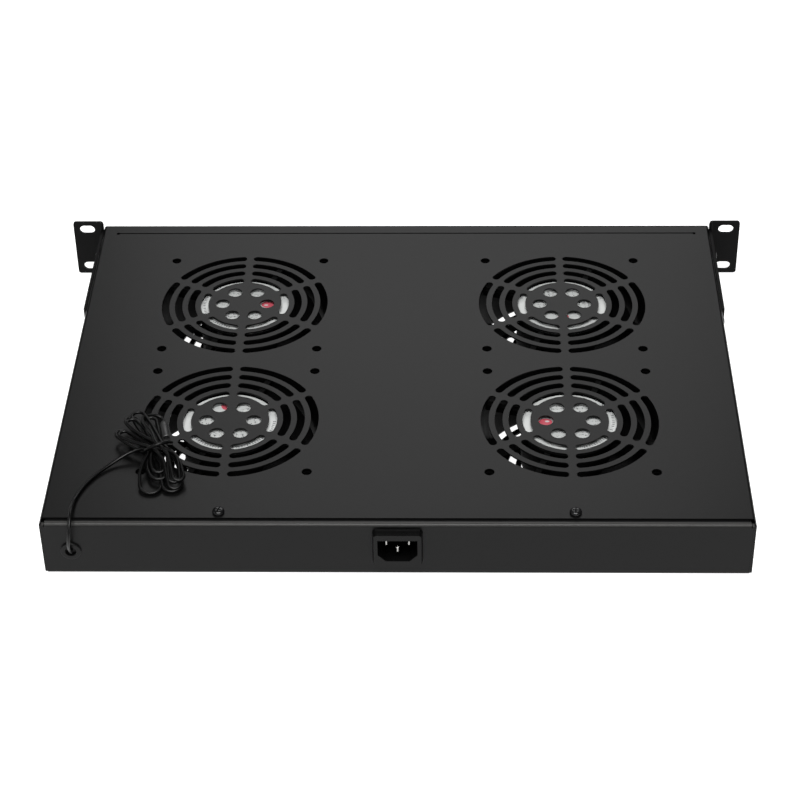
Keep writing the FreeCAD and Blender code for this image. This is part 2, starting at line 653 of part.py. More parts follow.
# The tied hank of spare cord on the cover: y, middle x, width and height of its outer shape.
hank_sections = [
    (61.5, 166.0, 8.0, 7.0), (66.0, 167.5, 20.0, 10.0), (76.0, 169.0, 27.0, 11.5), (88.0, 166.5, 25.0, 13.0),
    (97.0, 159.5, 17.5, 14.5), (103.5, 152.5, 14.0, 16.0), (110.0, 150.5, 17.0, 14.5),
    (120.0, 148.5, 25.0, 11.0), (130.0, 148.0, 28.0, 7.5), (137.0, 149.5, 23.0, 5.0),
    (141.0, 152.0, 10.0, 3.2)]
hank_lift = 0.15
probe_from = V(152.6, 69.2, body_h + probe_r + 0.2)
probe_to = V(149.0, 85.8, body_h + probe_r + 0.2)


def sensor_hank():
    """Loft through ovals that stand across the hank, each with its long side level."""
    wires = []
    for y, x, width, height in hank_sections:
        centre = V(x, y, body_h + hank_lift + height / 2)
        oval = Part.Ellipse(centre, max(width, height) / 2, min(width, height) / 2).toShape()
        oval.rotate(centre, X_AXIS, 90)
        if height > width:
            oval.rotate(centre, Y_AXIS, 90)
        wires.append(Part.Wire([oval]))
    return Part.makeLoft(wires, True, False)


def sensor_probe():
    """Moulded sensor capsule: a tube with a thicker collar where the cord enters."""
    axis = probe_to - probe_from
    axis.normalize()
    capsule = Part.makeCylinder(probe_r, probe_len, probe_from, axis)
    tip = [e for e in capsule.Edges if e.Curve.TypeId.endswith("Circle")
           and (e.CenterOfMass - probe_from).Length > probe_len / 2]
    capsule = capsule.makeFillet(0.5, tip)
    root = [e for e in capsule.Edges if e.Curve.TypeId.endswith("Circle")
            and (e.CenterOfMass - probe_from).Length < 0.1]
    return capsule.makeChamfer(1.0, root)


def sensor_grommet():
    """Rubber grommet in the rear panel: a lip each side, a neck in the hole and a web round the cord."""
    def disc(r, y0, y1):
        return Part.makeCylinder(r, y1 - y0, V(grommet_spot.x, y0, grommet_spot.z), Y_AXIS)
    body = disc(grommet_r, rear_y, rear_y + grommet_lip)
    rim = [e for e in body.Edges if e.BoundBox.YMin > rear_y + grommet_lip - 0.01
           and e.Curve.TypeId.endswith("Circle")]
    body = body.makeFillet(0.6, rim)
    inside = rear_y - sheet
    body = body.fuse(disc(grommet_neck_r, inside, rear_y))
    body = body.fuse(disc(grommet_r - 1, inside - grommet_lip, inside))
    body = body.cut(disc(grommet_bore_r, web_front, rear_y + 3))
    return body.cut(disc(grommet_bore_r, rear_y - 4, web_back))


# ---- mains inlet ----
def socket_outline():
    """The socket's outline with its two cut lower corners, in the XZ plane at y = 0."""
    a = socket_w / 2
    b = socket_h / 2
    c = socket_corner
    return [V(-a, 0, b), V(a, 0, b), V(a, 0, -b + c), V(a - c, 0, -b), V(-a + c, 0, -b), V(-a, 0, -b + c)]


def mains_inlet():
    half_w = inlet_face_w / 2
    half_h = inlet_face_h / 2
    base = Part.Wire(rounded_rect(half_w + inlet_edge, half_h + inlet_edge, 2.5))
    front = Part.Wire(rounded_rect(half_w, half_h, 2.0))
    front.translate(V(0, 0, inlet_proud))
    rim = Part.makeLoft([base, front], True, True)
    rim.rotate(V(0, 0, 0), X_AXIS, -90)
    rim.translate(V(0, rear_y, inlet_z))
    housing = box(-inlet_body_w / 2, inlet_body_w / 2, rear_y - inlet_depth, rear_y,
                  inlet_z - inlet_body_h / 2, inlet_z + inlet_body_h / 2)
    housing = rim.fuse(housing)
    hollow = polygon_prism([p + V(0, 0, inlet_z) for p in socket_outline()], V(0, socket_depth, 0))
    housing = housing.cut(moved(hollow, 0, rear_y + inlet_proud - socket_depth, 0))
    slots = [moved(pin_blank(0.0, 10.0), x, rear_y - inlet_depth - 2, inlet_z + z)
             for x, z, back in pin_spots()]
    housing = housing.cut(Part.makeCompound(slots))
    for side in (-1, 1):
        x = side * inlet_body_w / 2
        latch = polygon_prism([V(x, rear_y - sheet - 0.1, 0), V(x + side * 1.6, rear_y - sheet - 0.1, 0),
                               V(x, rear_y - sheet - 8.0, 0)], V(0, 0, 8.0))
        housing = housing.fuse(moved(latch, 0, 0, inlet_z - 4.0))
    return moved(housing.removeSplitter(), inlet_x, 0, 0)


def pin_spots():
    """Offset across, offset in height and tip's depth of each pin."""
    return [(-pin_pitch / 2, pin_offset, pin_back), (pin_pitch / 2, pin_offset, pin_back),
            (0.0, -pin_offset, earth_pin_back)]


def pin_blank(start, end):
    return box(-pin_w / 2, pin_w / 2, start, end, -pin_h / 2, pin_h / 2)


def inlet_pins():
    """Three flat pins with sloped tips, and the push-on blades behind the housing."""
    root = rear_y - inlet_depth - 0.6
    pins = []
    for x, z, back in pin_spots():
        tip = rear_y + inlet_proud - back
        pin = pin_blank(root, tip)
        ends = [e for e in pin.Edges if e.BoundBox.YMin > tip - 0.01]
        pin = pin.makeChamfer(0.6, ends)
        blade_tab = box(-0.4, 0.4, root - 7.5, root, -3.0, 3.0).cut(
            Part.makeCylinder(0.8, 4, V(-2, root - 4.5, 0), X_AXIS))
        pins.append(moved(pin.fuse(blade_tab), inlet_x + x, 0, inlet_z + z))
    return Part.makeCompound(pins)


def inlet_connector():
    """Insulated push-on housing over the three blades behind the inlet."""
    root = rear_y - inlet_depth - 0.6
    shell = box(inlet_x - 11.0, inlet_x + 11.0, inlet_back, root, inlet_z - 7.5, inlet_z + 7.5)
    rear_edges = [e for e in shell.Edges if e.BoundBox.YMax < inlet_back + 0.01]
    return shell.makeChamfer(2.0, rear_edges).cut(inlet_pins())


# ---- thermostat ----
def key_spots():
    return {"set": thermo_z + key_pitch, "up": thermo_z, "down": thermo_z - key_pitch}


def thermostat_bezel():
    bezel = rounded_plate(bezel_w, bezel_h, 2.5, bezel_proud)
    front_edges = [e for e in bezel.Edges if e.BoundBox.YMax < 0.01]
    bezel = bezel.makeChamfer(0.7, front_edges)
    bezel.translate(V(0, front_y - bezel_proud, thermo_z))
    cutters = [box(window_x - window_w / 2, window_x + window_w / 2, front_y - 5, front_y + 1,
                   thermo_z - window_h / 2, thermo_z + window_h / 2)]
    for z in key_spots().values():
        cutters.append(box(key_x - key_w / 2 - key_gap, key_x + key_w / 2 + key_gap,
                           front_y - 5, front_y + 1,
                           z - key_h / 2 - key_gap, z + key_h / 2 + key_gap))
    return bezel.cut(Part.makeCompound(cutters))


def display_window():
    back = front_y + 1.0
    pane = box(window_x - window_w / 2, window_x + window_w / 2, front_y - bezel_proud + 0.6, back,
               thermo_z - window_h / 2, thermo_z + window_h / 2)
    return pane


def thermostat_case():
    case = box(-thermo_w / 2, thermo_w / 2, front_y, thermo_back,
               thermo_z - thermo_h / 2, thermo_z + thermo_h / 2)
    rear_edges = [e for e in case.Edges if e.BoundBox.YMin > thermo_back - 0.01]
    case = case.makeChamfer(1.5, rear_edges)
    pocket = box(window_x - window_w / 2, window_x + window_w / 2, front_y - 1, front_y + 1.0,
                 thermo_z - window_h / 2, thermo_z + window_h / 2)
    case = case.cut(pocket)
    keys = box(key_x - key_w / 2 - key_room, key_x + key_w / 2 + key_room, front_y - 1, front_y + 5.0,
               thermo_z - key_pitch - key_h / 2 - key_room, thermo_z + key_pitch + key_h / 2 + key_room)
    case = case.cut(keys)
    vents = []
    for k in range(8):
        x = -28.0 + 8.0 * k
        vents.append(box(x - 1, x + 1, thermo_back - 40, thermo_back - 12,
                         thermo_z + thermo_h / 2 - 1.2, 60))
    return case.cut(Part.makeCompound(vents))


def thermostat_key(z):
    """A key cap, a skirt that keeps it behind the bezel, and a stem towards its switch."""
    face = front_y - bezel_proud - key_proud
    cap = box(key_x - key_w / 2, key_x + key_w / 2, face, front_y + 1.2, z - key_h / 2, z + key_h / 2)
    front_edges = [e for e in cap.Edges if e.BoundBox.YMax < face + 0.01]
    cap = cap.makeFillet(0.8, front_edges)
    skirt = box(key_x - key_w / 2 - key_skirt, key_x + key_w / 2 + key_skirt, front_y + 0.1, front_y + 1.2,
                z - key_h / 2 - key_skirt, z + key_h / 2 + key_skirt)
    stem = Part.makeCylinder(1.4, 2.4, V(key_x, front_y + 1.0, z), Y_AXIS)
    return cap.fuse(skirt).fuse(stem)


# ---- power switch ----
def power_switch_body():
    bezel = rounded_plate(switch_bezel_w, switch_bezel_h, 2.0, switch_proud)
    front_edges = [e for e in bezel.Edges if e.BoundBox.YMax < 0.01]
    bezel = bezel.makeChamfer(0.6, front_edges)
    bezel.translate(V(switch_x, front_y - switch_proud, switch_z))
    half_w = switch_cav_w / 2 + switch_wall
    half_h = switch_cav_h / 2 + switch_wall
    housing = box(switch_x - half_w, switch_x + half_w, front_y, front_y + switch_depth,
                  switch_z - half_h, switch_z + half_h)
    housing = housing.fuse(bezel)
    cavity = box(switch_x - switch_cav_w / 2, switch_x + switch_cav_w / 2, front_y - 5, front_y + 9.0,
                 switch_z - switch_cav_h / 2, switch_z + switch_cav_h / 2)
    housing = housing.cut(cavity)
    pivot = Part.makeCylinder(trunnion_r + 0.05, switch_cav_w + 2 * 1.0,
                              V(switch_x - switch_cav_w / 2 - 1.0, front_y + pivot_in, switch_z), X_AXIS)
    housing = housing.cut(pivot)
    for dz in (-6.0, 0.0, 6.0):
        tab = box(switch_x - 2.4, switch_x + 2.4, front_y + switch_depth, front_y + switch_depth + 7.0,
                  switch_z + dz - 0.4, switch_z + dz + 0.4)
        housing = housing.fuse(tab)
    return housing


def power_rocker():
    """Rocker with a shallow V face, tipped to its off position, on two trunnions."""
    rise = rocker_half * math.tan(math.radians(rocker_tilt))
    y_mid = -(pivot_in + switch_proud - 0.2)
    side = [(y_mid, 0.0), (y_mid - rise, rocker_half), (-0.5, rocker_half - 1.0), (3.0, 3.0),
            (3.0, -3.0), (-0.5, -rocker_half + 1.0), (y_mid - rise, -rocker_half)]
    points = [V(-rocker_w / 2, y, z) for y, z in side]
    rocker = polygon_prism(points, V(rocker_w, 0, 0))
    reach = rocker_w / 2 + 1.1
    rocker = rocker.fuse(Part.makeCylinder(trunnion_r, 2 * reach, V(-reach, 0, 0), X_AXIS))
    rocker.rotate(V(0, 0, 0), X_AXIS, rocker_tilt)
    rocker.translate(V(switch_x, front_y + pivot_in, switch_z))
    return rocker


# ---- terminal block and earth point ----
def terminal_block():
    """Row of screw terminals: a step on each long side for the wires, and a round well per screw."""
    low = sheet
    mid = block_w / 2
    profile = [V(-mid, block_front, low), V(-mid, block_rear, low), V(-mid, block_rear, low + 9.0),
               V(-mid, block_rear - 5.0, low + block_h), V(-mid, block_front + 5.0, low + block_h),
               V(-mid, block_front, low + 9.0)]
    block = polygon_prism(profile, V(block_w, 0, 0))
    wells = [Part.makeCylinder(2.1, 6.0, V(x, y, low + block_h - 5.0)) for x, y in terminal_spots()]
    return block.cut(Part.makeCompound(wells))


def terminal_spots():
    pitch = block_w / poles
    return [(-block_w / 2 + pitch * (k + 0.5), block_y + dy) for k in range(poles) for dy in (-3.0, 3.0)]


def terminal_screws():
    screw = Part.makeCylinder(1.9, 2.4)
    screw = screw.cut(box(-3, 3, -0.35, 0.35, 1.6, 3))
    spots = terminal_spots()
    return Part.makeCompound([moved(screw, x, y, sheet + block_h - 5.0) for x, y in spots])


def earth_screw():
    screw = pan_screw(**earth_screw_head)
    washer = Part.makeCylinder(4.0, 0.8).cut(Part.makeCylinder(2.0, 0.8))
    washer.translate(V(0, 0, -0.8))
    screw = screw.fuse(washer)
    return moved(screw, earth_spot.x, earth_spot.y, sheet + 3.0)


def earth_tag():
    """Ring terminal under the earth screw, crimped to the earth lead."""
    ring = Part.makeCylinder(4.6, 2.2, earth_spot + Z_AXIS * sheet)
    barrel = Part.makeCylinder(1.9, 4.9, earth_spot + V(0, -9.0, sheet + 1.9), Y_AXIS)
    return ring.fuse(barrel).cut(Part.makeCylinder(earth_screw_head["shank_r"] + 0.1, 9.0, earth_spot))


# ---- write every node ----
save(bottom_tray(), "bottom_tray")
save(top_cover(), "top_cover")
for name, side in (("left", -1), ("right", 1)):
    save(rack_bracket(side), "rack_bracket_" + name)
    save(bracket_screws(side), "bracket_screws_" + name)
save(cover_screws(), "cover_screws")
save(fan_screws(), "fan_screws")

fan_parts = {"fan_frame": fan_frame(), "fan_stator": fan_stator(), "fan_bearing": fan_bearing(),
             "fan_impeller": fan_impeller(), "fan_shaft": fan_shaft()}
for row, y in fan_rows.items():
    for side, x in fan_sides.items():
        place = row + "_" + side
        for part_name, shape in fan_parts.items():
            save(moved(shape, x, y, fan_floor), part_name + "_" + place)
        save(tube(fan_lead_routes[place], fan_lead_d, "fan lead " + place), "fan_lead_" + place)

save(mains_inlet(), "mains_inlet")
save(inlet_pins(), "inlet_pins")
save(inlet_connector(), "inlet_connector")
save(thermostat_case(), "thermostat_case")
save(thermostat_bezel(), "thermostat_bezel")
save(display_window(), "display_window")
for name, z in key_spots().items():
    save(thermostat_key(z), "key_" + name)
save(power_switch_body(), "power_switch_body")
save(power_rocker(), "power_rocker")
save(terminal_block(), "terminal_block")
save(terminal_screws(), "terminal_screws")
save(earth_screw(), "earth_screw")
save(earth_tag(), "earth_tag")
save(tube(inlet_lead_route, mains_lead_d, "inlet lead"), "inlet_lead")
save(tube(earth_lead_route, 2.4, "earth lead"), "earth_lead")
save(tube(switch_lead_route, 4.2, "switch lead"), "switch_lead")
save(tube(thermo_lead_route, 4.2, "thermostat lead"), "thermostat_lead")
save(tube(sensor_lead_route, cord_d, "sensor lead inside"), "sensor_lead")
save(sensor_grommet(), "sensor_grommet")
save(tube(cord_route, cord_d, "sensor cord"), "sensor_cord")
save(sensor_hank(), "sensor_hank")
save(sensor_probe(), "sensor_probe")
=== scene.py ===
import bpy
import bmesh
import math
from mathutils import Matrix, Vector
from mathutils.bvhtree import BVHTree


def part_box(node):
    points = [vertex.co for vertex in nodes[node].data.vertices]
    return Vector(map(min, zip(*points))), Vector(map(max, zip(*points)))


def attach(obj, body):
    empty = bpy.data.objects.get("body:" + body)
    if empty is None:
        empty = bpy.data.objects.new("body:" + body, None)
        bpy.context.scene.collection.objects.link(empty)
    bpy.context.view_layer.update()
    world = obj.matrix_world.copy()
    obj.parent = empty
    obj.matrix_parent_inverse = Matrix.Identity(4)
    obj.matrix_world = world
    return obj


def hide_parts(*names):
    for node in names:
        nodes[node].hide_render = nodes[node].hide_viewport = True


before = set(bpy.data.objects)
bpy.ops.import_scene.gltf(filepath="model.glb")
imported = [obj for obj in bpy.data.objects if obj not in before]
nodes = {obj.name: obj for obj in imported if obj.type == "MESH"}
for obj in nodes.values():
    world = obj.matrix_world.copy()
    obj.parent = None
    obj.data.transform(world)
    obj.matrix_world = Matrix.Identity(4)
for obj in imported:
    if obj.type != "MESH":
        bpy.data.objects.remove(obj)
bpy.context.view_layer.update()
places = ["front_left", "front_right", "rear_left", "rear_right"]


# ---- shader maths: a wrapped socket that takes + - * / and a few named operations
class Socket:
    def __init__(self, shade, link):
        self.shade = shade
        self.link = link

    def op(self, operation, *others):
        return self.shade.node("ShaderNodeMath", {"operation": operation}, [self, *others])

    def __add__(self, other):
        return self.op("ADD", other)

    def __sub__(self, other):
        return self.op("SUBTRACT", other)

    def __rsub__(self, other):
        return self.shade.node("ShaderNodeMath", {"operation": "SUBTRACT"}, [other, self])

    def __mul__(self, other):
        return self.op("MULTIPLY", other)

    def __truediv__(self, other):
        return self.op("DIVIDE", other)

    __radd__ = __add__
    __rmul__ = __mul__

    def above(self, level):
        return self.op("GREATER_THAN", level)

    def below(self, level):
        return self.op("LESS_THAN", level)

    def between(self, low, high):
        return self.above(low) * self.below(high)

    def clamp(self):
        return self.shade.node("ShaderNodeClamp", {}, [self])


class Shade:
    # one material's node tree, with a single method that adds any node
    def __init__(self, name):
        self.material = bpy.data.materials.new(name)
        self.material.use_nodes = True
        self.tree = self.material.node_tree
        self.surface = self.tree.nodes["Principled BSDF"]

    def node(self, kind, settings, inputs, output=0):
        made = self.tree.nodes.new(kind)
        for key, value in settings.items():
            setattr(made, key, value)
        items = inputs.items() if isinstance(inputs, dict) else enumerate(inputs)
        for key, value in items:
            self.feed(made.inputs[key], value)
        return Socket(self, made.outputs[output])

    def feed(self, socket, value):
        if isinstance(value, Socket):
            self.tree.links.new(value.link, socket)
        elif isinstance(value, (tuple, list)) and socket.type == "RGBA":
            socket.default_value = (*value[:3], 1)
        else:
            socket.default_value = value

    def set(self, **values):
        for key, value in values.items():
            self.feed(self.surface.inputs[key.replace("_", " ")], value)

    def place(self):
        return self.node("ShaderNodeTexCoord", {}, [], "Object")

    def noise(self, scale, detail=2.0, roughness=0.5, where=None):
        where = where or self.place()
        return self.node("ShaderNodeTexNoise", {}, {
            "Vector": where, "Scale": scale, "Detail": detail, "Roughness": roughness}, "Fac")

    def mix(self, factor, first, second):
        return self.node("ShaderNodeMix", {"data_type": "RGBA"}, {0: factor, 6: first, 7: second}, 2)

    def split(self, vector):
        # the three parts of a vector
        first = self.node("ShaderNodeSeparateXYZ", {}, [vector])
        return [Socket(self, part) for part in first.link.node.outputs]

    def bump(self, height, distance, strength=1.0, under=None):
        inputs = {"Height": height, "Distance": distance, "Strength": strength}
        if under is not None:
            inputs["Normal"] = under
        return self.node("ShaderNodeBump", {}, inputs)


def toned(colour, share):
    return tuple(c * share for c in colour)


# speck, wave and wave depth are multiples of the grain's own scale and depth
# the last two set the least strength of the painted bend highlight and how far it drifts with the tone
powder = {"drift": 9.0, "speck": 1.7, "driftShare": 0.6, "darker": 0.88, "lighter": 1.16, "wave": 0.22,
          "waveDepth": 2.2, "waveStrength": 0.35, "grainStrength": 0.55, "roughSpread": 0.10,
          "highlightLeast": 0.75, "highlightDrift": 0.5}


def powderPaint(name, colour, roughness, grain, depth, gloss, bend=None):
    # fine powder coat: a tight grain over a slower orange-peel wave, with faint drifts of tone;
    # where a bend is given, a painted highlight makes the colour lighter behind and above its two lines
    shade = Shade(name)
    drift = shade.noise(powder["drift"], 3.0)
    speck = shade.noise(grain * powder["speck"], 1.0)
    blend = drift * powder["driftShare"] + speck * (1 - powder["driftShare"])
    tone = shade.mix(blend.clamp(), toned(colour, powder["darker"]), toned(colour, powder["lighter"]))
    # painted highlight: behind the rear line and above the top line the colour blends into a lighter grey,
    # in place of the lamps' highlight on the rounded bend
    if bend:
        _, rearward, upward = shade.split(shade.place())
        behind = ((rearward - bend["rear"]) / bend["fade"]).clamp()
        above = ((upward - bend["top"]) / bend["fade"]).clamp()
        paintedHighlight = behind * above * (powder["highlightLeast"] + drift * powder["highlightDrift"])
        tone = shade.mix(paintedHighlight.clamp(), tone, bend["colour"])
    wave = shade.bump(shade.noise(grain * powder["wave"], 1.0), depth * powder["waveDepth"],
                      powder["waveStrength"])
    fine = shade.bump(shade.noise(grain, 2.0, 0.6), depth, powder["grainStrength"], wave)
    shade.set(Base_Color=tone, Roughness=roughness + (speck - 0.5) * powder["roughSpread"], Normal=fine,
              Specular_IOR_Level=gloss)
    return shade.material


moulded = {"mottle": 60.0, "darker": 0.86, "lighter": 1.12, "strength": 0.5, "roughSpread": 0.08}


def mouldedPlastic(name, colour, roughness, grain=1400.0, depth=0.00002, gloss=0.5):
    # moulded plastic: soft mottling and a very fine texture
    shade = Shade(name)
    mottle = shade.noise(moulded["mottle"], 2.0)
    tone = shade.mix(mottle, toned(colour, moulded["darker"]), toned(colour, moulded["lighter"]))
    texture = shade.bump(shade.noise(grain, 2.0), depth, moulded["strength"])
    shade.set(Base_Color=tone, Roughness=roughness + (mottle - 0.5) * moulded["roughSpread"], Normal=texture,
              Specular_IOR_Level=gloss)
    return shade.material


plate = {"stretch": (1.0, 1.0, 6.0), "stain": 140.0, "darker": 0.8, "depth": 0.00001, "strength": 0.5,
         "roughSpread": 0.15}


def barePlate(name, colour, roughness, grain=600.0, metallic=1.0):
    # plated or ground metal: a stretched grain and small stains
    shade = Shade(name)
    stretched = shade.node("ShaderNodeMapping", {}, {"Vector": shade.place(), "Scale": plate["stretch"]})
    streak = shade.noise(grain, 3.0, 0.6, stretched)
    stain = shade.noise(plate["stain"], 2.0)
    tone = shade.mix(stain, toned(colour, plate["darker"]), colour)
    shade.set(Base_Color=tone, Roughness=roughness + (streak - 0.5) * plate["roughSpread"],
              Normal=shade.bump(streak, plate["depth"], plate["strength"]), Metallic=metallic)
    return shade.material


# painted highlight along the tray's rear top bend: the lines where it starts, how far it fades in, and its
# lighter colour
trayBendHighlight = {"rear": 0.1618, "top": 0.0388, "fade": 0.0006, "colour": (0.026, 0.0256, 0.0246)}
finish = {
    "tray": powderPaint("trayPaintBendHighlight", (0.0020, 0.0020, 0.0020), 0.33, 1900.0, 0.00002, 0.132, trayBendHighlight),
    "chassis": powderPaint("chassisPaint", (0.0020, 0.0020, 0.0020), 0.33, 1900.0, 0.00002, 0.132),
    "bracket": powderPaint("bracketPaint", (0.0016, 0.0016, 0.0016), 0.45, 1900.0, 0.00003, 0.065),
    "casting": powderPaint("fanCasting", (0.0008, 0.0008, 0.0008), 0.50, 1100.0, 0.00003, 0.03),
    "blade": mouldedPlastic("bladePlastic", (0.0008, 0.0008, 0.0008), 0.60, gloss=0.04),
    "screw": barePlate("blackScrew", (0.010, 0.010, 0.0105), 0.22, 900.0, 0.6),
    "shaft": barePlate("groundSteel", (0.52, 0.52, 0.53), 0.25),
    "bronze": barePlate("sinteredBronze", (0.48, 0.30, 0.12), 0.4),
    "copper": barePlate("enamelledCopper", (0.45, 0.16, 0.06), 0.3),
    "zinc": barePlate("zincPlate", (0.58, 0.58, 0.55), 0.35),
    "tinned": barePlate("tinnedBrass", (0.62, 0.58, 0.45), 0.3),
    "pin": barePlate("pinNickel", (0.34, 0.335, 0.325), 0.20, 500.0),
    "inlet": mouldedPlastic("inletPlastic", (0.0016, 0.0016, 0.0016), 0.28, 900.0, 0.000008, 0.13),
    "case": mouldedPlastic("casePlastic", (0.014, 0.014, 0.0145), 0.45),
    "rocker": mouldedPlastic("rockerPlastic", (0.010, 0.010, 0.010), 0.25, 900.0, 0.000008, 0.6),
    "key": mouldedPlastic("keyRubber", (0.16, 0.16, 0.165), 0.62),
    "connector": mouldedPlastic("connectorNylon", (0.34, 0.34, 0.32), 0.5),
    "terminal": mouldedPlastic("terminalNylon", (0.66, 0.65, 0.58), 0.45),
    "probe": mouldedPlastic("probePlastic", (0.0200, 0.0200, 0.0200), 0.46, 1200.0, 0.00001, 0.5),
    "grommet": mouldedPlastic("grommetRubber", (0.0032, 0.0032, 0.0032), 0.40, gloss=0.125),
    "sheath": mouldedPlastic("leadSheath", (0.0010, 0.0010, 0.0010), 0.36, 1200.0, 0.000004, 0.19),
    "earth": mouldedPlastic("earthSheath", (0.08, 0.26, 0.03), 0.4),
    "white": mouldedPlastic("markWhite", (0.72, 0.72, 0.70), 0.5),
}
print("finishes ready:", len(finish))

# ---- camera
view = {"place": (-0.034103, 1.195618, 0.939156), "turn": (52.122, 0.790, -178.915), "lens": 100.41,
        "nearest": 0.05}
cameraData = bpy.data.cameras.new("camera")
cameraData.lens = view["lens"]
cameraData.clip_start = view["nearest"]
camera = bpy.data.objects.new("camera", cameraData)
camera.location = view["place"]
camera.rotation_euler = [math.radians(a) for a in view["turn"]]
bpy.context.scene.collection.objects.link(camera)
bpy.context.scene.camera = camera
print("camera ready")


# ---- mesh helpers
def around(radius, turn):
    return radius * math.cos(turn), radius * math.sin(turn)


def middle(node):
    # the middle of a node's box, across and up
    low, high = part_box(node)
    return (low.x + high.x) / 2, (low.z + high.z) / 2


def addObject(name, data):
    made = bpy.data.objects.new(name, data)
    bpy.context.scene.collection.objects.link(made)
    return made


def meshFrom(bm, name, material, smoothAngle=None):
    data = bpy.data.meshes.new(name)
    bm.to_mesh(data)
    bm.free()
    data.materials.append(material)
    if smoothAngle is not None:
        data.polygons.foreach_set("use_smooth", [True] * len(data.polygons))
        data.set_sharp_from_angle(angle=math.radians(smoothAngle))
    return data


def thicken(bm, thickness):
    # flat faces grown upwards into a closed solid
    grown = bmesh.ops.extrude_face_region(bm, geom=list(bm.faces))
    tops = [g for g in grown["geom"] if isinstance(g, bmesh.types.BMVert)]
    bmesh.ops.translate(bm, verts=tops, vec=(0, 0, thickness))
    bmesh.ops.recalc_face_normals(bm, faces=bm.faces)


def plain(source, name):
    # the evaluated shape as a plain mesh, with no modifier left
    graph = bpy.context.evaluated_depsgraph_get()
    data = bpy.data.meshes.new_from_object(source.evaluated_get(graph))
    data.name = name
    return data


def islands(node):
    # low and high corner of each separate solid in a node, sorted, so that every run finds the same order
    bm = bmesh.new()
    bm.from_mesh(nodes[node].data)
    bmesh.ops.remove_doubles(bm, verts=bm.verts, dist=1e-6)
    found = []
    left = set(bm.verts)
    while left:
        stack = [left.pop()]
        group = list(stack)
        while stack:
            for edge in stack.pop().link_edges:
                for vert in edge.verts:
                    if vert in left:
                        left.remove(vert)
                        stack.append(vert)
                        group.append(vert)
        low = Vector([min(v.co[i] for v in group) for i in range(3)])
        high = Vector([max(v.co[i] for v in group) for i in range(3)])
        found.append((low, high))
    bm.free()
    return sorted(found, key=lambda corners: tuple(corners[0]))


# ---- sensor cord: the free run, the tied hank and the run into the capsule
cord = {
    "diameter": 0.0022,
    "length": 1.16,
    "order": 3,
    "stepsAlong": 6,
    "stepsRound": 3,
    "freeRun": [
        (0.2022, 0.1651, 0.0176), (0.2021, 0.1709, 0.0245), (0.2013, 0.1744, 0.0316),
        (0.2002, 0.1749, 0.0392), (0.1998, 0.1699, 0.0456), (0.2000, 0.1620, 0.0479),
        (0.2004, 0.1536, 0.0460), (0.2003, 0.1466, 0.0439), (0.1989, 0.1394, 0.0430),
        (0.1948, 0.1284, 0.0430), (0.1874, 0.1170, 0.0430), (0.1786, 0.1084, 0.0443),
        (0.1701, 0.1036, 0.0473), (0.1614, 0.1018, 0.0499)],
    # each lobe: tip, half width, bow, and where its two sides pass the waist (across, height)
    "lobes": [
        ((0.1542, 0.1386, 0.0429), 0.0066, 0.0016, (0.0052, 0.0504), (0.0014, 0.0450)),
        ((0.1802, 0.0830, 0.0474), 0.0041, 0.0005, (0.0014, 0.0450), (0.0056, 0.0472)),
        ((0.1489, 0.1278, 0.0454), 0.0052, 0.0016, (0.0056, 0.0472), (0.0026, 0.0474)),
        ((0.1744, 0.0700, 0.0486), 0.0041, 0.0000, (0.0026, 0.0474), (0.0030, 0.0502)),
        ((0.1496, 0.1226, 0.0466), 0.0036, 0.0012, (0.0030, 0.0502), (0.0006, 0.0500)),
        ((0.1780, 0.0866, 0.0494), 0.0035, 0.0006, (0.0006, 0.0500), (0.0034, 0.0528)),
        ((0.1378, 0.1352, 0.0442), 0.0038, -0.0040, (0.0034, 0.0528), (-0.0044, 0.0482)),
        ((0.1732, 0.0744, 0.0502), 0.0035, 0.0002, (-0.0044, 0.0482), (-0.0014, 0.0534)),
        ((0.1384, 0.1310, 0.0458), 0.0035, -0.0046, (-0.0014, 0.0534), (-0.0044, 0.0508)),
        ((0.1702, 0.0654, 0.0492), 0.0041, -0.0003, (-0.0044, 0.0508), (-0.0002, 0.0474)),
        ((0.1388, 0.1364, 0.0429), 0.0062, -0.0022, (-0.0002, 0.0474), (-0.0068, 0.0454)),
        ((0.1614, 0.0692, 0.0478), 0.0042, 0.0014, (-0.0066, 0.0454), (-0.0018, 0.0506)),
        ((0.1354, 0.1300, 0.0466), 0.0035, -0.0048, (-0.0018, 0.0506), (0.0008, 0.0550))],
    "waist": (0.1525, 0.1035),
    "across": (0.86, 0.51),
    # along a lobe's side: share of its length, share of its half width
    "side": [(0.28, 0.50), (0.56, 0.95)],
    # round a lobe's tip: half widths short of the tip, share of its half width
    "tip": [(1.6, 1.0), (0.586, 1.0), (0.0, 0.414)],
    # x (1 - x) squared peaks at 4/27, so the scale makes a bow its own largest offset;
    # the rise is the power of a side's climb from waist to tip
    "bowScale": 27 / 4,
    "rise": 1.3,
    # once round the waist before the lobe of this index, and the last run into the capsule
    "tied": 11,
    "wrap": [
        (0.1506, 0.0966, 0.0436), (0.1554, 0.0970, 0.0428), (0.1596, 0.0996, 0.0432),
        (0.1616, 0.1029, 0.0460), (0.1606, 0.1068, 0.0500), (0.1582, 0.1086, 0.0540),
        (0.1538, 0.1090, 0.0570), (0.1496, 0.1078, 0.0580), (0.1460, 0.1050, 0.0568),
        (0.1440, 0.1012, 0.0536), (0.1438, 0.0970, 0.0498), (0.1454, 0.0934, 0.0470),
        (0.1494, 0.0918, 0.0454), (0.1530, 0.0884, 0.0450)],
    "last": [
        (0.1564, 0.0928, 0.0552), (0.1610, 0.0856, 0.0536), (0.1642, 0.0786, 0.0518),
        (0.1654, 0.0726, 0.0502), (0.1640, 0.0684, 0.0488), (0.1608, 0.0658, 0.0474),
        (0.1574, 0.0644, 0.0461), (0.1544, 0.0649, 0.0450), (0.1529, 0.0669, 0.0444),
        (0.1526, 0.0692, 0.0442)],
}


def waistSpot(across):
    return Vector(cord["waist"]) + Vector(cord["across"]) * across


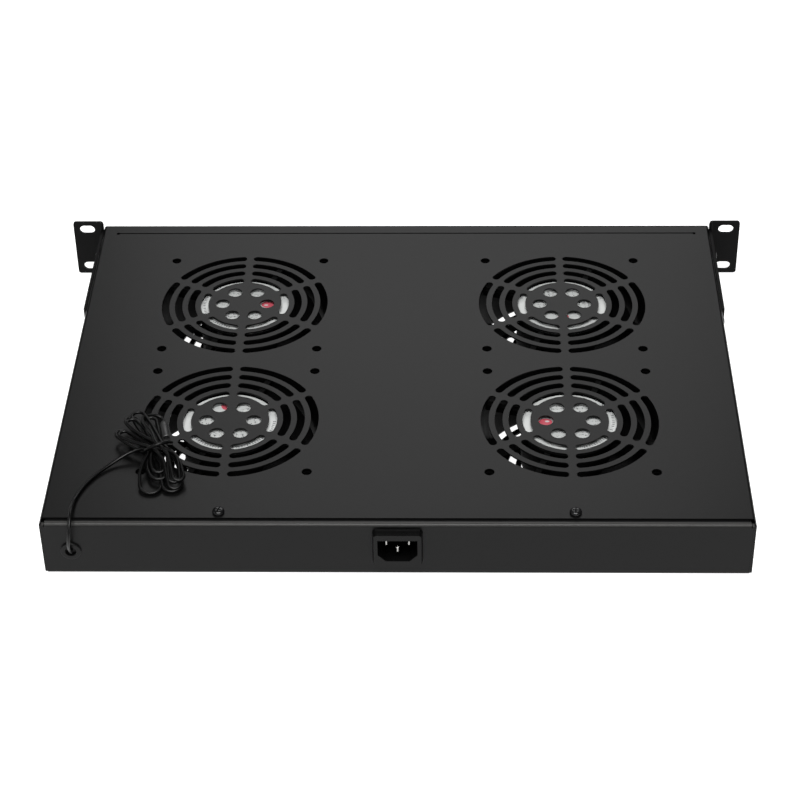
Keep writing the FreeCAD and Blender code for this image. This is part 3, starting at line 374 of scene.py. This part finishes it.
def hankLobe(tip, half, bow, start, end):
    # out along one side, round the tip and back along the other side
    centre = Vector(cord["waist"])
    across = Vector(cord["across"])
    along = Vector(tip[:2]) - centre
    aside = Vector((-along.y, along.x)).normalized()
    aside *= 1 if aside.dot(across) > 0 else -1
    firstSide = 1 if start[0] > end[0] else -1
    turn = half / along.length
    side = cord["side"] + [(1 - short * turn, wide) for short, wide in cord["tip"]]
    points = []
    for steps, sign, slot in ((side, firstSide, start), (side[::-1], -firstSide, end)):
        for far, wide in steps:
            offset = sign * half * wide + bow * cord["bowScale"] * far * (1 - far) ** 2
            spot = centre + along * far + aside * offset + across * slot[0] * (1 - far) ** 2
            points.append((*spot, slot[1] + (tip[2] - slot[1]) * far ** cord["rise"]))
    return points


def sensorCord():
    points = list(cord["freeRun"])
    for number, lobe in enumerate(cord["lobes"]):
        sides = hankLobe(*lobe)
        if number == cord["tied"]:
            points += cord["wrap"]
            sides = sides[1:]
        else:
            points.append((*waistSpot(lobe[3][0]), lobe[3][1]))
        points += sides
    points.append((*waistSpot(cord["lobes"][-1][4][0]), cord["lobes"][-1][4][1]))
    points += cord["last"]
    data = bpy.data.curves.new("sensorCord", "CURVE")
    data.dimensions = "3D"
    line = data.splines.new("NURBS")
    line.points.add(len(points) - 1)
    for spot, p in zip(line.points, points):
        spot.co = (*p, 1)
    line.order_u = cord["order"]
    line.use_endpoint_u = True
    line.resolution_u = cord["stepsAlong"]
    data.bevel_depth = cord["diameter"] / 2
    data.bevel_resolution = cord["stepsRound"]
    data.use_fill_caps = True
    data.materials.append(finish["sheath"])
    return addObject("sensor_cord_line", data)


def revolve(bm, outline, steps):
    # rings of points about Z from (radius, height) pairs, joined by faces; a radius of 0 is one point
    rings = []
    for r, z in outline:
        if r == 0.0:
            rings.append([bm.verts.new((0, 0, z))] * steps)
        else:
            turns = [2 * math.pi * k / steps for k in range(steps)]
            rings.append([bm.verts.new((*around(r, turn), z)) for turn in turns])
    for low, high in zip(rings, rings[1:]):
        for k in range(steps):
            corners = [low[k], low[(k + 1) % steps], high[(k + 1) % steps], high[k]]
            bm.faces.new(list(dict.fromkeys(corners)))
    return rings


capsuleSize = {
    "start": (0.1526, 0.0692, 0.0442), "end": (0.1490, 0.0858, 0.0442), "radius": 0.0026,
    # radius and distance from the start
    "entry": [(0.0011, 0.0), (0.0015, 0.0), (0.0019, 0.0006)],
    # share of the radius and distance from the start
    "band": [(0.94, 0.0030), (1.0, 0.0042), (1.0, 0.0046), (0.93, 0.0050)],
    # share of the radius and share of the length
    "body": (0.93, 0.55),
    # share of the radius and distance short of the end
    "rim": [(0.95, 0.0014), (1.0, 0.0010), (1.0, 0.0003), (0.90, 0.0), (0.78, 0.0002), (0.72, 0.0012),
            (0.0, 0.0012)],
    "sides": 32, "sharp": 35}


def capsule(size):
    # moulded capsule, revolved: rounded entry, raised band, slim body and a rolled rim with a shallow hollow
    start = Vector(size["start"])
    end = Vector(size["end"])
    length = (end - start).length
    radius = size["radius"]
    outline = list(size["entry"])
    outline += [(radius * wide, along) for wide, along in size["band"]]
    outline.append((radius * size["body"][0], length * size["body"][1]))
    outline += [(radius * wide, length - short) for wide, short in size["rim"]]
    bm = bmesh.new()
    rings = revolve(bm, outline, size["sides"])
    bm.faces.new(rings[0][::-1])
    bmesh.ops.recalc_face_normals(bm, faces=bm.faces)
    turn = (end - start).to_track_quat("Z", "Y").to_matrix().to_4x4()
    bmesh.ops.transform(bm, matrix=Matrix.Translation(start) @ turn, verts=bm.verts)
    return addObject("probe_capsule", meshFrom(bm, "probe_capsule", finish["probe"], size["sharp"]))


cordLine = sensorCord()
probe = capsule(capsuleSize)
for piece, node in ((cordLine, "sensor_cord"), (probe, "sensor_probe")):
    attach(piece, "chassis")
    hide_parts(node)
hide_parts("sensor_hank")
print("sensor cord ready")

# ---- finishes of the metal and plastic pieces
nodeFinish = {
    "bottom_tray": "tray", "top_cover": "chassis", "rack_bracket_left": "bracket",
    "rack_bracket_right": "bracket", "mains_inlet": "inlet", "inlet_pins": "pin",
    "inlet_connector": "connector", "thermostat_case": "case", "thermostat_bezel": "case",
    "key_set": "key", "key_up": "key", "key_down": "key", "power_switch_body": "case",
    "power_rocker": "rocker", "terminal_block": "terminal", "terminal_screws": "zinc", "earth_screw": "zinc",
    "earth_tag": "tinned", "inlet_lead": "sheath", "switch_lead": "sheath", "thermostat_lead": "sheath",
    "sensor_lead": "sheath", "earth_lead": "earth", "sensor_grommet": "grommet"}
for place in places:
    for part, look in (("fan_frame", "casting"), ("fan_stator", "copper"), ("fan_bearing", "bronze"),
                       ("fan_impeller", "blade"), ("fan_shaft", "shaft"), ("fan_lead", "sheath")):
        nodeFinish[part + "_" + place] = look


def dress(node, material):
    data = nodes[node].data
    data.materials.clear()
    data.materials.append(material)


for node, look in nodeFinish.items():
    dress(node, finish[look])


def windowTint():
    shade = Shade("windowTint")
    haze = shade.noise(80.0, 2.0)
    shade.set(Base_Color=shade.mix(haze, (0.008, 0.002, 0.002), (0.012, 0.003, 0.003)),
              Roughness=0.08 + haze * 0.05, Specular_IOR_Level=0.12)
    return shade.material


dress("display_window", windowTint())
print("nodes dressed:", len(nodeFinish) + 1)

# ---- fasteners: one screw per kind, set on every spot by a node tree
screwKinds = {
    "cover_screws": {"axis": (0, 0, 1), "radius": 0.0038, "height": 0.0024, "flush": False},
    "bracket_screws_left": {"axis": (-1, 0, 0), "radius": 0.0036, "height": 0.0023, "flush": False},
    "bracket_screws_right": {"axis": (1, 0, 0), "radius": 0.0036, "height": 0.0023, "flush": False},
    "fan_screws": {"axis": (0, 0, -1), "radius": 0.0039, "height": 0.0012, "flush": True}}
# both outlines, the recess and the shank are shares of the head's radius and height; the recess is cut
# from a little proud of the top, in metres
headShape = {
    "pan": [(0.0, 1.0), (0.55, 1.0), (0.80, 0.90), (0.94, 0.68), (1.0, 0.40), (1.0, 0.06), (0.97, 0.0)],
    "flush": [(0.0, 1.0), (0.98, 1.0), (1.0, 0.97), (0.53, 0.0)],
    "shank": 0.53, "reach": 0.60, "wing": 0.13, "depth": 0.75, "taper": 0.45, "proud": 0.0004,
    "sides": 28, "sharp": 40, "randomTurn": 6.28}


def crossHead(name, radius, height, length, flush):
    # revolved head and shank with a cross recess whose four wings narrow downwards
    crown = [(radius * wide, height * tall) for wide, tall in headShape["flush" if flush else "pan"]]
    stem = radius * headShape["shank"]
    shank = [(stem, 0.0), (stem, -length), (0.0, -length)]
    bm = bmesh.new()
    revolve(bm, list(dict.fromkeys(crown + shank)), headShape["sides"])
    bmesh.ops.recalc_face_normals(bm, faces=bm.faces)
    head = addObject(name, meshFrom(bm, name, finish["screw"], headShape["sharp"]))
    tool = bmesh.new()
    reach = radius * headShape["reach"]
    wing = radius * headShape["wing"]
    depth = height * headShape["depth"]
    for turn in (0.0, math.pi / 2):
        spots = []
        for z, share in ((height + headShape["proud"], 1.0), (height - depth, headShape["taper"])):
            for x, y in ((-1, -1), (1, -1), (1, 1), (-1, 1)):
                corner = Vector((x * reach * share, y * wing * share, z))
                spots.append(Matrix.Rotation(turn, 3, "Z") @ corner)
        verts = [tool.verts.new(p) for p in spots]
        for quad in ((0, 1, 2, 3), (7, 6, 5, 4), (0, 4, 5, 1), (1, 5, 6, 2), (2, 6, 7, 3), (3, 7, 4, 0)):
            tool.faces.new([verts[i] for i in quad])
    bmesh.ops.recalc_face_normals(tool, faces=tool.faces)
    cutter = addObject(name + "Cutter", meshFrom(tool, name + "Cutter", finish["screw"]))
    cut = head.modifiers.new("recess", "BOOLEAN")
    cut.object = cutter
    cut.solver = "EXACT"
    cut.use_self = True
    head.data = plain(head, name)
    head.modifiers.clear()
    head.data.set_sharp_from_angle(angle=math.radians(headShape["sharp"]))
    bpy.data.objects.remove(cutter)
    return head


def spreadTree(name):
    # sets a shape on every point, along the point's own direction and turned at random about it
    tree = bpy.data.node_groups.new(name, "GeometryNodeTree")
    tree.is_modifier = True
    face = tree.interface
    face.new_socket("Geometry", in_out="INPUT", socket_type="NodeSocketGeometry")
    face.new_socket("Shape", in_out="INPUT", socket_type="NodeSocketObject")
    face.new_socket("Turn", in_out="INPUT", socket_type="NodeSocketFloat")
    face.new_socket("Finish", in_out="INPUT", socket_type="NodeSocketMaterial")
    face.new_socket("Geometry", in_out="OUTPUT", socket_type="NodeSocketGeometry")
    add = tree.nodes.new
    link = tree.links.new
    given = add("NodeGroupInput")
    result = add("NodeGroupOutput")
    shape = add("GeometryNodeObjectInfo")
    put = add("GeometryNodeInstanceOnPoints")
    align = add("FunctionNodeAlignRotationToVector")
    align.axis = "Z"
    towards = add("GeometryNodeInputNamedAttribute")
    towards.data_type = "FLOAT_VECTOR"
    towards.inputs["Name"].default_value = "towards"
    spin = add("FunctionNodeRotateRotation")
    spin.rotation_space = "LOCAL"
    angle = add("FunctionNodeRandomValue")
    angle.data_type = "FLOAT"
    angle.inputs["Seed"].default_value = 7
    about = add("FunctionNodeAxisAngleToRotation")
    about.inputs["Axis"].default_value = (0, 0, 1)
    whole = add("GeometryNodeRealizeInstances")
    paint = add("GeometryNodeSetMaterial")
    link(given.outputs["Geometry"], put.inputs["Points"])
    link(given.outputs["Shape"], shape.inputs["Object"])
    link(shape.outputs["Geometry"], put.inputs["Instance"])
    link(towards.outputs["Attribute"], align.inputs["Vector"])
    link(align.outputs["Rotation"], spin.inputs["Rotation"])
    link(given.outputs["Turn"], angle.inputs[3])
    link(angle.outputs[1], about.inputs["Angle"])
    link(about.outputs["Rotation"], spin.inputs["Rotate By"])
    link(spin.outputs["Rotation"], put.inputs["Rotation"])
    link(put.outputs["Instances"], whole.inputs["Geometry"])
    link(whole.outputs["Geometry"], paint.inputs["Geometry"])
    link(given.outputs["Finish"], paint.inputs["Material"])
    link(paint.outputs["Geometry"], result.inputs["Geometry"])
    return tree


def spread(name, tree, spots, towards, shape, turn, material):
    data = bpy.data.meshes.new(name + "Spots")
    data.from_pydata([tuple(p) for p in spots], [], [])
    way = data.attributes.new("towards", "FLOAT_VECTOR", "POINT")
    way.data.foreach_set("vector", [c for _ in spots for c in towards])
    holder = addObject(name + "Spots", data)
    modifier = holder.modifiers.new("spread", "NODES")
    modifier.node_group = tree
    values = {"Shape": shape, "Turn": turn, "Finish": material}
    for item in tree.interface.items_tree:
        if item.in_out == "INPUT" and item.name in values:
            modifier[item.identifier] = values[item.name]
    made = addObject(name, plain(holder, name))
    bpy.data.objects.remove(holder)
    return made


headTree = spreadTree("fastenerSpread")
for node, kind in screwKinds.items():
    axis = Vector(kind["axis"])
    spots = []
    length = 0.0
    for low, high in islands(node):
        centre = (low + high) / 2
        extent = (high - low) / 2
        outer = centre + Vector([a * e for a, e in zip(axis, extent)])
        spots.append(outer - axis * kind["height"])
        length = 2 * abs(extent.dot(axis)) - kind["height"]
    head = crossHead(node + "Head", kind["radius"], kind["height"], length, kind["flush"])
    heads = spread(node + "_heads", headTree, spots, axis, head, headShape["randomTurn"], finish["screw"])
    bpy.data.objects.remove(head)
    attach(heads, "chassis")
    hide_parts(node)
print("fasteners ready")

# ---- fan labels: a foil disc on each motor mount with a rim of fine ticks, rows of flecks and a red block
label = {"radius": 0.0312, "thickness": 0.00025, "below": 0.0014, "ahead": 0.0042, "corners": 96,
         "turn": {"front_left": 90.0, "front_right": 176.0, "rear_left": 4.0, "rear_right": -78.0}}
# the print, in shares of the label's radius: the rim and the rows lie between two distances from the middle,
# the rim's ticks start at an angle from the block's side, in radians; flecks and breaks are a noise's scale
# and the level it has to pass; an oval is its centre, its squeeze and the square of its half width
labelPrint = {
    "foil": ((0.36, 0.37, 0.365), (0.42, 0.43, 0.42)), "ink": (0.05, 0.05, 0.055),
    "red": (0.34, 0.055, 0.075), "rim": (0.885, 0.945), "rimStart": 1.8, "ticks": 95.0,
    "wideBreak": (2.2, 0.42), "fineBreak": (40.0, 0.40), "rows": (0.34, 0.74), "rowEnd": 0.33,
    "rowCount": 9.0, "rowInk": (0.25, 0.75), "fleck": (26.0, 0.57),
    "block": ((0.50, 0.02), 1.5, 0.021), "notch": ((0.46, 0.0), 3.0, 0.0022),
    "roughness": 0.42, "inkRoughness": 0.15, "metallic": 0.1}


def oval(u, v, centre, squeeze, size):
    aside, aloft = u - centre[0], v - centre[1]
    return (aside * aside + aloft * aloft * squeeze).below(size)


def labelFoil():
    shade = Shade("labelFoil")
    look = labelPrint
    u, v, _ = shade.split(shade.node("ShaderNodeTexCoord", {}, [], "UV"))
    away = (u * u + v * v).op("SQRT")
    angle = v.op("ARCTAN2", u)
    unrolled = shade.node("ShaderNodeCombineXYZ", {}, [angle * 9.0, away * 3.0, 0.0])
    broken, chipped = (shade.noise(scale, 1.0, 0.5, unrolled).above(level)
                       for scale, level in (look["wideBreak"], look["fineBreak"]))
    ticks = (angle * look["ticks"]).op("SINE").above(0.1)
    started = angle.op("ABSOLUTE").above(look["rimStart"])
    rim = away.between(*look["rim"]) * ticks * broken * chipped * started
    scale, level = look["fleck"]
    flecks = shade.noise(scale, 2.0, 0.6, shade.node("ShaderNodeCombineXYZ", {}, [u, v, 3.0])).above(level)
    lines = (v * look["rowCount"]).op("FRACT").between(*look["rowInk"])
    rows = flecks * lines * away.between(*look["rows"]) * u.below(look["rowEnd"])
    ink = (rim + rows).clamp()
    block = oval(u, v, *look["block"])
    notch = oval(u, v, *look["notch"])
    foil = shade.mix(shade.noise(30.0, 2.0), *look["foil"])
    printed = shade.mix(ink, foil, look["ink"])
    printed = shade.mix((block - notch).clamp(), printed, look["red"])
    bare = (ink + block).clamp() * look["metallic"]
    shade.set(Base_Color=printed, Roughness=look["roughness"] + ink * look["inkRoughness"],
              Metallic=look["metallic"] - bare)
    return shade.material


labelFace = labelFoil()
for place in places:
    low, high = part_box("fan_frame_" + place)
    centre = (low + high) / 2
    bm = bmesh.new()
    turns = [2 * math.pi * k / label["corners"] for k in range(label["corners"])]
    bm.faces.new([bm.verts.new((*around(label["radius"], turn), 0)) for turn in turns])
    thicken(bm, label["thickness"])
    layer = bm.loops.layers.uv.new("UVMap")
    turned = math.radians(label["turn"][place])
    cosine, sine = math.cos(turned), math.sin(turned)
    for face in bm.faces:
        for loop in face.loops:
            x = loop.vert.co.x / label["radius"]
            y = (loop.vert.co.y + label["ahead"]) / label["radius"]
            loop[layer].uv = (x * cosine + y * sine, y * cosine - x * sine)
    bmesh.ops.translate(bm, verts=bm.verts, vec=(centre.x, centre.y, high.z - label["below"]))
    sticker = addObject("fan_label_" + place, meshFrom(bm, "fan_label_" + place, labelFace))
    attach(sticker, "chassis")
print("fan labels ready")

# ---- marks on the front controls: two plain figures in the window, arrows and a dot on the keys,
# a bar and a ring on the rocker
marks = {"figures": "25", "figure": (0.0072, 0.0134), "stroke": 0.0013, "gap": 1.25, "spacing": 0.0108,
         "middle": (-0.0105, 0.0206), "thickness": 0.00008, "arrow": 0.0015, "arrowFoot": 0.8, "dot": 0.6,
         "bar": (0.0008, 0.0038), "ring": (0.0012, 0.0019), "ringSteps": 24, "apart": 0.0047}
# each bar of a figure: side, level and whether it stands upright
segments = {"a": (0, 1, 0), "g": (0, 0, 0), "d": (0, -1, 0), "b": (1, 1, 1), "c": (1, -1, 1),
            "f": (-1, 1, 1), "e": (-1, -1, 1)}
lit = {"2": "abged", "5": "afgcd"}


def glow(name, colour, strength):
    shade = Shade(name)
    grain = shade.noise(900.0, 2.0)
    tone = shade.mix(grain, toned(colour, 0.9), colour)
    shade.set(Base_Color=tone, Roughness=0.3 + grain * 0.1, Emission_Color=tone, Emission_Strength=strength)
    return shade.material


def faceFrame(node, x, z):
    # where a line along +Y meets the front of a node, with that face's across, up and outward directions
    mesh = nodes[node].data
    tree = BVHTree.FromPolygons([v.co for v in mesh.vertices], [p.vertices for p in mesh.polygons])
    spot, outward, _, _ = tree.ray_cast(Vector((x, -1.0, z)), Vector((0, 1, 0)))
    outward = -outward if outward.y > 0 else outward
    across = Vector((1, 0, 0))
    turn = Matrix((across, outward.cross(across), outward)).transposed().to_4x4()
    return Matrix.Translation(spot) @ turn


def mark(name, node, x, z, outlines, look, body, slot):
    # flat outlines laid on the front of a node as one thin piece that moves with the given body
    bm = bmesh.new()
    for outline in outlines:
        bm.faces.new([bm.verts.new((a, b, 0)) for a, b in outline])
    bmesh.ops.remove_doubles(bm, verts=bm.verts, dist=1e-6)
    thicken(bm, marks["thickness"])
    bmesh.ops.transform(bm, matrix=faceFrame(node, x, z), verts=bm.verts)
    made = addObject(name, meshFrom(bm, name, look))
    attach(made, body)


def segmentBar(letter):
    # a six-cornered bar, across or upright, with its place in the figure; the gap is in half strokes
    width, height = marks["figure"]
    half = marks["stroke"] / 2
    side, level, upright = segments[letter]
    reach = (height / 4 if upright else width / 2) - half * marks["gap"]
    bar = [(-reach, 0), (half - reach, -half), (reach - half, -half),
           (reach, 0), (reach - half, half), (half - reach, half)]
    if upright:
        bar = [(-b, a) for a, b in bar]
    centre = (side * (width / 2 - half), level * (height / 4 if upright else height / 2 - half))
    return [(a + centre[0], b + centre[1]) for a, b in bar]


glowing = glow("segmentLit", (0.9, 0.03, 0.02), 1.0)
# unlit segments: a dark red that also gets a faint painted glow, though they are off
offSegmentsPaintedGlow = glow("segmentOffPaintedGlow", (0.030, 0.006, 0.006), 0.2)
for number, figure in enumerate(marks["figures"]):
    x = marks["middle"][0] + (number - 0.5) * marks["spacing"]
    rest = set(segments) - set(lit[figure])
    for name, look, letters in (("lit", glowing, lit[figure]), ("off", offSegmentsPaintedGlow, rest)):
        mark(f"figure_{number + 1}_{name}", "display_window", x, marks["middle"][1],
             [segmentBar(letter) for letter in sorted(letters)], look, "chassis", "window_tint")
arrow = marks["arrow"]
foot = arrow * marks["arrowFoot"]
keyShapes = {
    "key_set": [[around(arrow * marks["dot"], k * math.pi / 8) for k in range(16)]],
    "key_up": [[(-arrow, -foot), (arrow, -foot), (0, arrow)]],
    "key_down": [[(-arrow, foot), (0, -arrow), (arrow, foot)]]}
for node, shape in keyShapes.items():
    mark(node + "_mark", node, *middle(node), shape, finish["white"], node, "key_rubber")
across, up = middle("power_rocker")
inner, outer = marks["ring"]
ring = []
for k in range(marks["ringSteps"]):
    start, end = (2 * math.pi * (k + step) / marks["ringSteps"] for step in (0, 1))
    ring.append([around(inner, start), around(outer, start), around(outer, end), around(inner, end)])
wide, tall = (value / 2 for value in marks["bar"])
upright = [[(-wide, -tall), (wide, -tall), (wide, tall), (-wide, tall)]]
for name, shape, side in (("rocker_on_mark", upright, 1), ("rocker_off_mark", ring, -1)):
    mark(name, "power_rocker", across, up + side * marks["apart"], shape,
         finish["white"], "power_rocker", "case_plastic")
print("front marks ready")

# ---- floor and light
studio = {
    "floor": 6.0, "drop": 0.0005, "card": ((0.40, 0.40, 0.40), (0.44, 0.44, 0.44)), "world": 0.06,
    # each soft box: place, the point it faces, size and power
    "boxes": {
        "farBox": ((-0.02, -1.50, 1.27), (0, 0, 0), (1.1, 1.1), 9.9),
        "topBox": ((0.0, 0.72, 1.5), (0, 0.1, 0), (1.2, 0.95), 46.0),
        "leftBox": ((1.6, 0.5, 0.9), (0, 0, 0), (1.0, 1.0), 3.0),
        "nearBox": ((0.0, 1.75, 0.95), (0, 0.1, 0), (1.8, 1.1), 4.0)}}


def floorCard():
    # a pale card that also shines, so that the ground is white all over
    shade = Shade("floorCard")
    shade.set(Base_Color=shade.mix(shade.noise(3.0), *studio["card"]), Roughness=0.7,
              Emission_Color=(1.0, 1.0, 1.0), Emission_Strength=1.0)
    return shade.material


bm = bmesh.new()
bmesh.ops.create_grid(bm, x_segments=1, y_segments=1, size=studio["floor"])
floor = addObject("floor", meshFrom(bm, "floor", floorCard()))
floor.location.z = -studio["drop"]


def softBox(name, place, aim, size, power):
    data = bpy.data.lights.new(name, "AREA")
    data.shape = "RECTANGLE"
    data.size, data.size_y = size
    data.energy = power
    made = addObject(name, data)
    made.location = place
    made.rotation_euler = (Vector(aim) - Vector(place)).to_track_quat("-Z", "Y").to_euler()


for name, box in studio["boxes"].items():
    softBox(name, *box)
world = bpy.data.worlds.new("studio")
world.use_nodes = True
background = world.node_tree.nodes["Background"].inputs
background["Color"].default_value = (1, 1, 1, 1)
background["Strength"].default_value = studio["world"]
bpy.context.scene.world = world
bpy.context.scene.view_settings.view_transform = "Standard"
print("studio ready")
